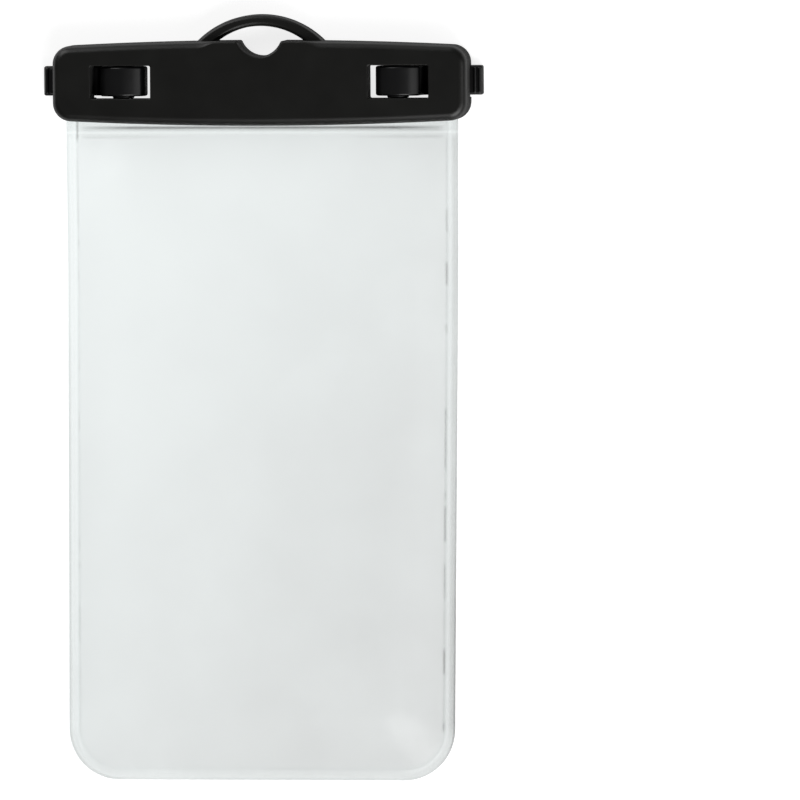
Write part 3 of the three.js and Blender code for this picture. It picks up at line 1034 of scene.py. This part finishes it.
@dataclass
class FilmBag:
    """The two welded films of the bag, a little puffed, pinched at the mouth."""

    bar: ClampBar
    bottom_y: float = -109.7
    lean: float = -1.8
    top_half_width: float = 56.2
    bottom_half_width: float = 55.4
    corner_radius: float = 14.5
    film: float = 0.4
    weld_width: float = 2.8
    weld_z: float = 3.4
    front_z: float = 9.8
    rear_z: float = 0.25
    crown_reach: float = 17.0
    crown_corner: float = 20.0
    neck_y: float = 78.3
    neck_length: float = 26.0
    rise_length: float = 48.0
    parting_z: float = 6.0
    film_gap: float = 0.02
    bead_height: float = 0.10
    bead_width: float = 0.35
    bead_below_neck: float = 2.0
    soft_waves: Waves = Waves(9, 34, 95, 0.30)
    rear_softness: float = 0.5
    pucker: Waves = Waves(10, 5.0, 17.0, 0.22)
    pucker_start: float = 3.0
    pucker_reach: float = 6.0
    pucker_below_neck: Pair = (4.0, 16.0)
    haze: FilmHazeAndPaintedLight = FilmHazeAndPaintedLight()
    insets: tuple[float, ...] = (
        0.15, 0.4, 0.75, 1.1, 1.5, 1.9, 2.2, 2.45, 2.65, 2.8, 2.95, 3.1, 3.3, 3.5, 3.75, 4.2, 5.0, 6.2, 7.8,
        9.8, 12.0)
    neck_rows: tuple[float, ...] = (
        83.2, 82.9, 82.5, 82.2, 80.6, 80.3, 79.9, 79.2, 78.5, 78.0, 77.6, 77.2, 76.9, 76.6, 76.3, 76.0, 75.7,
        75.4, 75.0, 74.5, 73.8, 73.0, 72.0, 71.0)
    body_top_y: float = 70.0
    body_rows: int = 132
    columns: int = 42
    corner_steps: int = 14
    rng: np.random.Generator = field(default_factory=lambda: np.random.default_rng(SEED))

    def rows(self) -> np.ndarray:
        """Heights of the grid's rows from the mouth to the corners' centres, closer at the neck."""
        low = self.bottom_y + self.corner_radius
        return np.concatenate([self.neck_rows, np.linspace(self.body_top_y, low, self.body_rows)])

    def half_width(self, y: np.ndarray) -> np.ndarray:
        """The bag's half width at a height, ahead of its corners."""
        share = (self.bar.mouth_y - y) / (self.bar.mouth_y - self.bottom_y)
        return self.top_half_width + (self.bottom_half_width - self.top_half_width) * share

    def grid(self) -> tuple[np.ndarray, list[list[int]], list[int]]:
        """Lays out the film flat: a grid inside, and rows that follow the outline round its margin.

        Returns:
            The points (x, y, distance from the edge, place along the edge), the faces, and the
            points round the film's rim in order.
        """
        rows = self.rows()
        r = self.corner_radius
        low = rows[-1]
        centre_x = float(self.half_width(np.array(low))) - r
        across = np.linspace(-1, 1, self.columns + 1)
        points: list[tuple[float, float, float, float]] = []
        inner = np.zeros((len(rows), len(across)), int)
        for i, y in enumerate(rows):
            reach = float(self.half_width(y)) - r
            for k, share in enumerate(across):
                inner[i, k] = len(points)
                from_side = reach + r - abs(share) * reach
                points.append((share * reach, y, min(from_side, y - self.bottom_y), 0.0))
        # Stations along the edge: foot of the station, the way inwards, and the inner grid's point
        stations = [(-float(self.half_width(y)), y, 1.0, 0.0, inner[i, 0]) for i, y in enumerate(rows)]
        turn = np.radians(np.linspace(180, 270, self.corner_steps + 1))[1:-1]
        for a in turn:
            stations.append((-centre_x + r * math.cos(a), low + r * math.sin(a),
                             -math.cos(a), -math.sin(a), inner[-1, 0]))
        for k, share in enumerate(across):
            stations.append((share * centre_x, self.bottom_y, 0.0, 1.0, inner[-1, k]))
        for a in turn[::-1]:
            stations.append((centre_x - r * math.cos(a), low + r * math.sin(a),
                             math.cos(a), -math.sin(a), inner[-1, -1]))
        stations += [(float(self.half_width(y)), y, -1.0, 0.0, inner[i, -1])
                     for i, y in reversed(list(enumerate(rows)))]
        levels = (0.0, *self.insets)
        strip = np.zeros((len(stations), len(levels) + 1), int)
        along = 0.0
        for i, (x, y, nx, ny, last) in enumerate(stations):
            if i:
                along += math.dist((x, y), stations[i - 1][:2])
            for j, d in enumerate(levels):
                strip[i, j] = len(points)
                points.append((x + nx * d, y + ny * d, d, along))
            strip[i, -1] = last
        faces = []
        for i in range(len(rows) - 1):
            for k in range(len(across) - 1):
                faces.append([inner[i, k], inner[i + 1, k], inner[i + 1, k + 1], inner[i, k + 1]])
        for i in range(len(stations) - 1):
            for j in range(len(levels)):
                corners = [strip[i, j], strip[i + 1, j], strip[i + 1, j + 1], strip[i, j + 1]]
                faces.append(list(dict.fromkeys(int(c) for c in corners)))
        rim = [int(v) for v in strip[:, 0]]
        rim += [int(v) for v in strip[-1, 1:-1]]
        rim += [int(v) for v in inner[0, ::-1]]
        rim += [int(v) for v in strip[0, -2:0:-1]]
        return np.array(points), faces, rim

    def crown(self, x: np.ndarray, y: np.ndarray, edge: np.ndarray) -> np.ndarray:
        """How far each point has left the weld's plane for the bag's full thickness, 0 to 1."""
        k = self.crown_corner
        from_side = self.half_width(y) - np.abs(x)
        from_bottom = y - self.bottom_y
        rounder = k - np.hypot(np.maximum(k - from_side, 0), np.maximum(k - from_bottom, 0))
        share = np.clip(edge / self.corner_radius, 0, 1)
        distance = edge + (rounder - edge) * share**2 * (3 - 2 * share)
        from_weld = np.clip((distance - self.weld_width) / self.crown_reach, 0, 1)
        from_neck = np.clip((self.neck_y - y) / self.neck_length, 0, 1)
        return np.sin(np.pi / 2 * from_weld) * np.sin(np.pi / 2 * from_neck)

    def weld_plane(self, y: np.ndarray) -> np.ndarray:
        """Height of the plane in which the two films meet."""
        share = np.clip((y - (self.neck_y - self.rise_length)) / self.rise_length, 0, 1)
        rise = share**2 * (3 - 2 * share)
        dip = np.array([self.bar.ridge_dip(float(v)) for v in y])
        return self.weld_z + (self.parting_z - self.weld_z) * rise + dip

    def waves(self, x: np.ndarray, y: np.ndarray, kind: Waves) -> np.ndarray:
        """A smooth random field, about as high as the waves' size."""
        total = np.zeros_like(x)
        for _ in range(kind.count):
            length = self.rng.uniform(kind.shortest, kind.longest)
            angle = self.rng.uniform(0, 2 * np.pi)
            phase = self.rng.uniform(0, 2 * np.pi)
            total += np.sin(2 * np.pi * (x * np.cos(angle) + y * np.sin(angle)) / length + phase)
        return kind.size * total / math.sqrt(kind.count)

    def dashes(self, along: np.ndarray) -> np.ndarray:
        """Random dashes along the edge, 0 to 1, with soft ends."""
        h = self.haze
        marks = np.zeros_like(along)
        at = 0.0
        while at < along.max():
            at += self.rng.exponential(h.dash_gap) + h.least_gap
            length = self.rng.exponential(h.dash) + h.least_dash
            strength = self.rng.uniform(*h.dash_strength)
            inside = ramp(along - at, 0, h.dash_end) * ramp(at + length - along, 0, h.dash_end)
            marks = np.maximum(marks, strength * inside)
            at += length
        return marks

    def dimming(self, x: np.ndarray, y: np.ndarray, edge: np.ndarray,
                along: np.ndarray) -> tuple[np.ndarray, np.ndarray]:
        """How much the whole bag dims what is behind it, painted shadows, shade and highlights included, and
        how dark that dimming is, at each point.

        Args:
            x: place across the film.
            y: place along the film.
            edge: distance from the film's edge.
            along: place along the edge.

        Returns:
            The share of light held back by both films, and the depth of its colour, 0 to 1.
        """
        h = self.haze
        aside = np.abs(x)
        over_bottom = y - self.bottom_y
        to_right = ramp(x, *h.sideways)
        amount = h.middle + h.per_mm_right * x + h.per_mm_up * y + self.waves(x, y, h.clouds)
        amount += h.low_right * to_right * (1 - ramp(y, *h.upwards)) ** 2
        amount += h.high_left * (1 - to_right) * ramp(y, *h.left_upwards)
        seam = self.dashes(along)
        every = np.ones_like(x)
        right = 1 / (1 + np.exp(-x / h.side_blend))
        left = 1 - right
        upright = ramp(over_bottom, *h.turn_over_bottom) * ramp(y, *h.under_neck)
        raised = ramp(over_bottom, *h.rim_over_bottom)
        corner = ramp(aside, *h.towards_side)
        outer = corner * right * raised
        across = ramp(aside, *h.between_welds)
        lines = (
            (h.right_seam, edge, (every, upright * right, upright * right * seam)),
            (h.left_seam, edge, (upright * left, upright * left * seam)),
            # painted highlight beside the weld seam
            (h.weld_gleam, edge, (every, corner * (right + left * raised))),
            # cut edge, with painted shade darkening it round the lower right corner
            (h.rim, edge, (every, outer, outer * ramp(y, *h.downwards))),
            (h.left_rim, edge, (corner * left * ramp(y, *h.left_rim_zone),)),
            (h.flange, edge, (right * upright, left * upright, over_bottom < h.turn_over_bottom[0])),
            (h.neck_shadow, y, (across * ramp(aside, *h.shadow_zone),)),
            (h.under_shadow, y, (across, across * right)),
            # painted highlight under the clamp bar
            (h.neck_gleam, y, (every,)),
            # painted shade of the crease below the neck
            (h.neck_crease_shade, y, (across, across * ramp(aside, *h.crease_shade_zone))),
            (h.end_mark, x, (ramp(y, *h.end_mark_zone),)),
        )
        deep = np.zeros_like(x)
        for line, place, zones in lines:
            mask = line.mask(place)
            for share, zone in zip(line.shares, zones):
                amount += mask * share * zone
            deep = np.maximum(deep, mask * line.depth)
        return np.clip(amount, *h.limits), np.clip(deep, 0, 1)

    def build(self, finish: bpy.types.Material) -> None:
        """Builds and dresses both films."""
        points, faces, rim = self.grid()
        x, y, edge, along = points.T
        crown = self.crown(x, y, edge)
        plane = self.weld_plane(y)
        held, deep = self.dimming(x, y, edge, along)
        per_surface = 1 - (1 - held) ** (1 / 4)  # light passes two films, each with two surfaces
        inwards = edge - self.weld_width
        bead = self.bead_height * np.exp(-((inwards / self.bead_width) ** 2))
        bead *= y < self.neck_y - self.bead_below_neck
        soft = self.waves(x, y, self.soft_waves)
        pucker = self.waves(along, 0 * y, self.pucker) * np.exp(-inwards / self.pucker_reach)
        pucker *= ramp(inwards, 0, self.pucker_start) * ramp(self.neck_y - y, *self.pucker_below_neck)
        for face in Face:
            sign = face.value
            full = self.front_z if face is Face.FRONT else self.rear_z
            rest = plane + sign * (self.film / 2 + self.film_gap)
            lift = soft * crown if face is Face.FRONT else np.abs(soft) * self.rear_softness * crown
            middle = rest + (full - rest) * crown + lift + sign * bead + pucker * (sign > 0)
            self.shell(face, points, faces, rim, middle, per_surface, deep, finish)

    def shell(self, face: Face, points: np.ndarray, faces: list[list[int]], rim: list[int],
              middle: np.ndarray, held: np.ndarray, deep: np.ndarray, finish: bpy.types.Material) -> None:
        """Makes one film as a thin closed shell.

        Args:
            face: which film.
            points: its flat layout.
            faces: the layout's faces.
            rim: the points round the rim.
            middle: height of the film's middle at each point.
            held: haze of one surface at each point, painted shadows, shade and highlights included.
            deep: depth of the haze's colour at each point.
            finish: its material.
        """
        count = len(points)
        below = np.clip((self.neck_y - points[:, 1]) / (self.neck_y - self.bottom_y), 0, 1)
        leaning = points[:, 0] + self.lean * below
        top = np.column_stack([leaning, points[:, 1], middle + self.film / 2])
        bottom = np.column_stack([leaning, points[:, 1], middle - self.film / 2])
        all_faces = list(faces) + [[v + count for v in reversed(f)] for f in faces]
        for a, b in zip(rim, rim[1:] + rim[:1]):
            all_faces.append([a, a + count, b + count, b])
        node = f"{face.name.lower()}_film"
        piece = closed_mesh(f"bag_{node}", np.concatenate([top, bottom]), all_faces)
        # haze carries painted shadows, crease shade and highlights besides the films' haze
        for key, values in (("haze", held), ("depth", deep)):
            piece.data.attributes.new(key, "FLOAT", "POINT").data.foreach_set(
                "value", np.concatenate([values, values]).astype(np.float32))
        dress(piece, node, "root", finish, sharp_deg=50)


@dataclass
class SealStrip:
    """The soft strip in the rear jaw's groove: the CAD node itself, with its finish."""

    node: str = "seal_strip"

    def build(self, finish: bpy.types.Material) -> None:
        """Gives the strip its finish."""
        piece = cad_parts[self.node]
        piece.data.materials.clear()
        piece.data.materials.append(finish)
        log.info("%s: finish only", self.node)


@dataclass(frozen=True)
class Softbox:
    """One soft lamp, placed by its direction from the middle of the pouch."""

    name: str
    azimuth_deg: float
    from_zenith_deg: float
    distance: float
    width: float
    height: float
    radiance: float

    def build(self) -> None:
        """Adds the lamp, facing the pouch."""
        data = bpy.data.lights.new(self.name, "AREA")
        data.shape = "RECTANGLE"
        data.size, data.size_y = self.width, self.height
        data.energy = self.radiance * math.pi * self.width * self.height
        lamp = bpy.data.objects.new(self.name, data)
        bpy.context.scene.collection.objects.link(lamp)
        polar, turn = math.radians(self.from_zenith_deg), math.radians(self.azimuth_deg)
        lamp.location = (self.distance * math.sin(polar) * math.cos(turn),
                         self.distance * math.sin(polar) * math.sin(turn), self.distance * math.cos(polar))
        lamp.rotation_euler = (0, polar, turn)


@dataclass
class Studio:
    """Floor, lamps, surroundings and camera."""

    target: tuple[float, float, float] = (0.03896, -0.0011, 0.006)
    tilt_x_deg: float = 7.5
    tilt_y_deg: float = 3.3
    roll_deg: float = -0.40
    distance: float = 4.0
    view_width: float = 0.2272
    sensor: float = 36.0
    surroundings: float = 0.11
    floor_half: float = 4.0
    floor_z: float = -0.0001
    lamps: tuple[Softbox, ...] = (
        Softbox("right_softbox", -22, 50, 1.0, 0.5, 0.8, 1.55),
        Softbox("near_right_softbox", -60, 44, 0.7, 0.6, 0.4, 4.2),
        Softbox("far_softbox", 98, 64, 1.1, 0.6, 0.6, 0.6),
        Softbox("far_left_softbox", 127, 58, 0.9, 0.7, 0.35, 2.8),
    )

    def build(self) -> None:
        """Builds the studio."""
        self.floor()
        self.sky()
        for lamp in self.lamps:
            lamp.build()
        self.camera()
        bpy.context.scene.view_settings.view_transform = "Standard"
        bpy.context.scene.view_settings.look = "None"

    def floor(self) -> None:
        """A flat floor just under the pouch."""
        half, z = self.floor_half, self.floor_z
        corners = [(-half, -half, z), (half, -half, z), (half, half, z), (-half, half, z)]
        mesh = bpy.data.meshes.new("floor")
        mesh.from_pydata(corners, [], [[0, 1, 2, 3]])
        mesh.materials.append(StudioFloor().material())
        floor = bpy.data.objects.new("floor", mesh)
        bpy.context.scene.collection.objects.link(floor)

    def sky(self) -> None:
        """An even dim surround."""
        world = bpy.data.worlds.new("studio")
        world.use_nodes = True
        world.node_tree.nodes["Background"].inputs["Color"].default_value = (1, 1, 1, 1)
        world.node_tree.nodes["Background"].inputs["Strength"].default_value = self.surroundings
        bpy.context.scene.world = world

    def camera(self) -> None:
        """The camera, looking down on the pouch from a little to its right and beyond its top."""
        back = Vector((math.tan(math.radians(self.tilt_x_deg)), math.tan(math.radians(self.tilt_y_deg)), 1))
        back.normalize()
        data = bpy.data.cameras.new("camera")
        data.sensor_width = self.sensor
        data.lens = self.sensor / self.view_width * self.distance
        data.clip_start, data.clip_end = 0.05, 50
        camera = bpy.data.objects.new("camera", data)
        bpy.context.scene.collection.objects.link(camera)
        right = Vector((0, 1, 0)).cross(back).normalized()
        turn = Matrix((right, back.cross(right), back)).transposed()
        camera.rotation_euler = (turn @ Matrix.Rotation(math.radians(self.roll_deg), 3, "Z")).to_euler()
        camera.location = Vector(self.target) + back * self.distance
        bpy.context.scene.camera = camera


def main() -> None:
    """Builds the studio and the pouch."""
    logging.basicConfig(level=logging.INFO, format="%(name)s: %(message)s")
    Studio().build()
    bar = ClampBar()
    bar.build(MouldedPlastic("clamp_plastic", (0.0025, 0.0025, 0.0019), 0.36).material())
    lever_plastic = MouldedPlastic("lever_plastic", (0.0022, 0.0022, 0.0025), 0.30, grain_depth_mm=0.002)
    lever_finish = lever_plastic.material()
    for side in Side:
        CamLever(side, bar).build(lever_finish)
    FilmBag(bar).build(ClearFilm().material())
    SealStrip().build(Silicone().material())


if __name__ == "__main__":
    main()
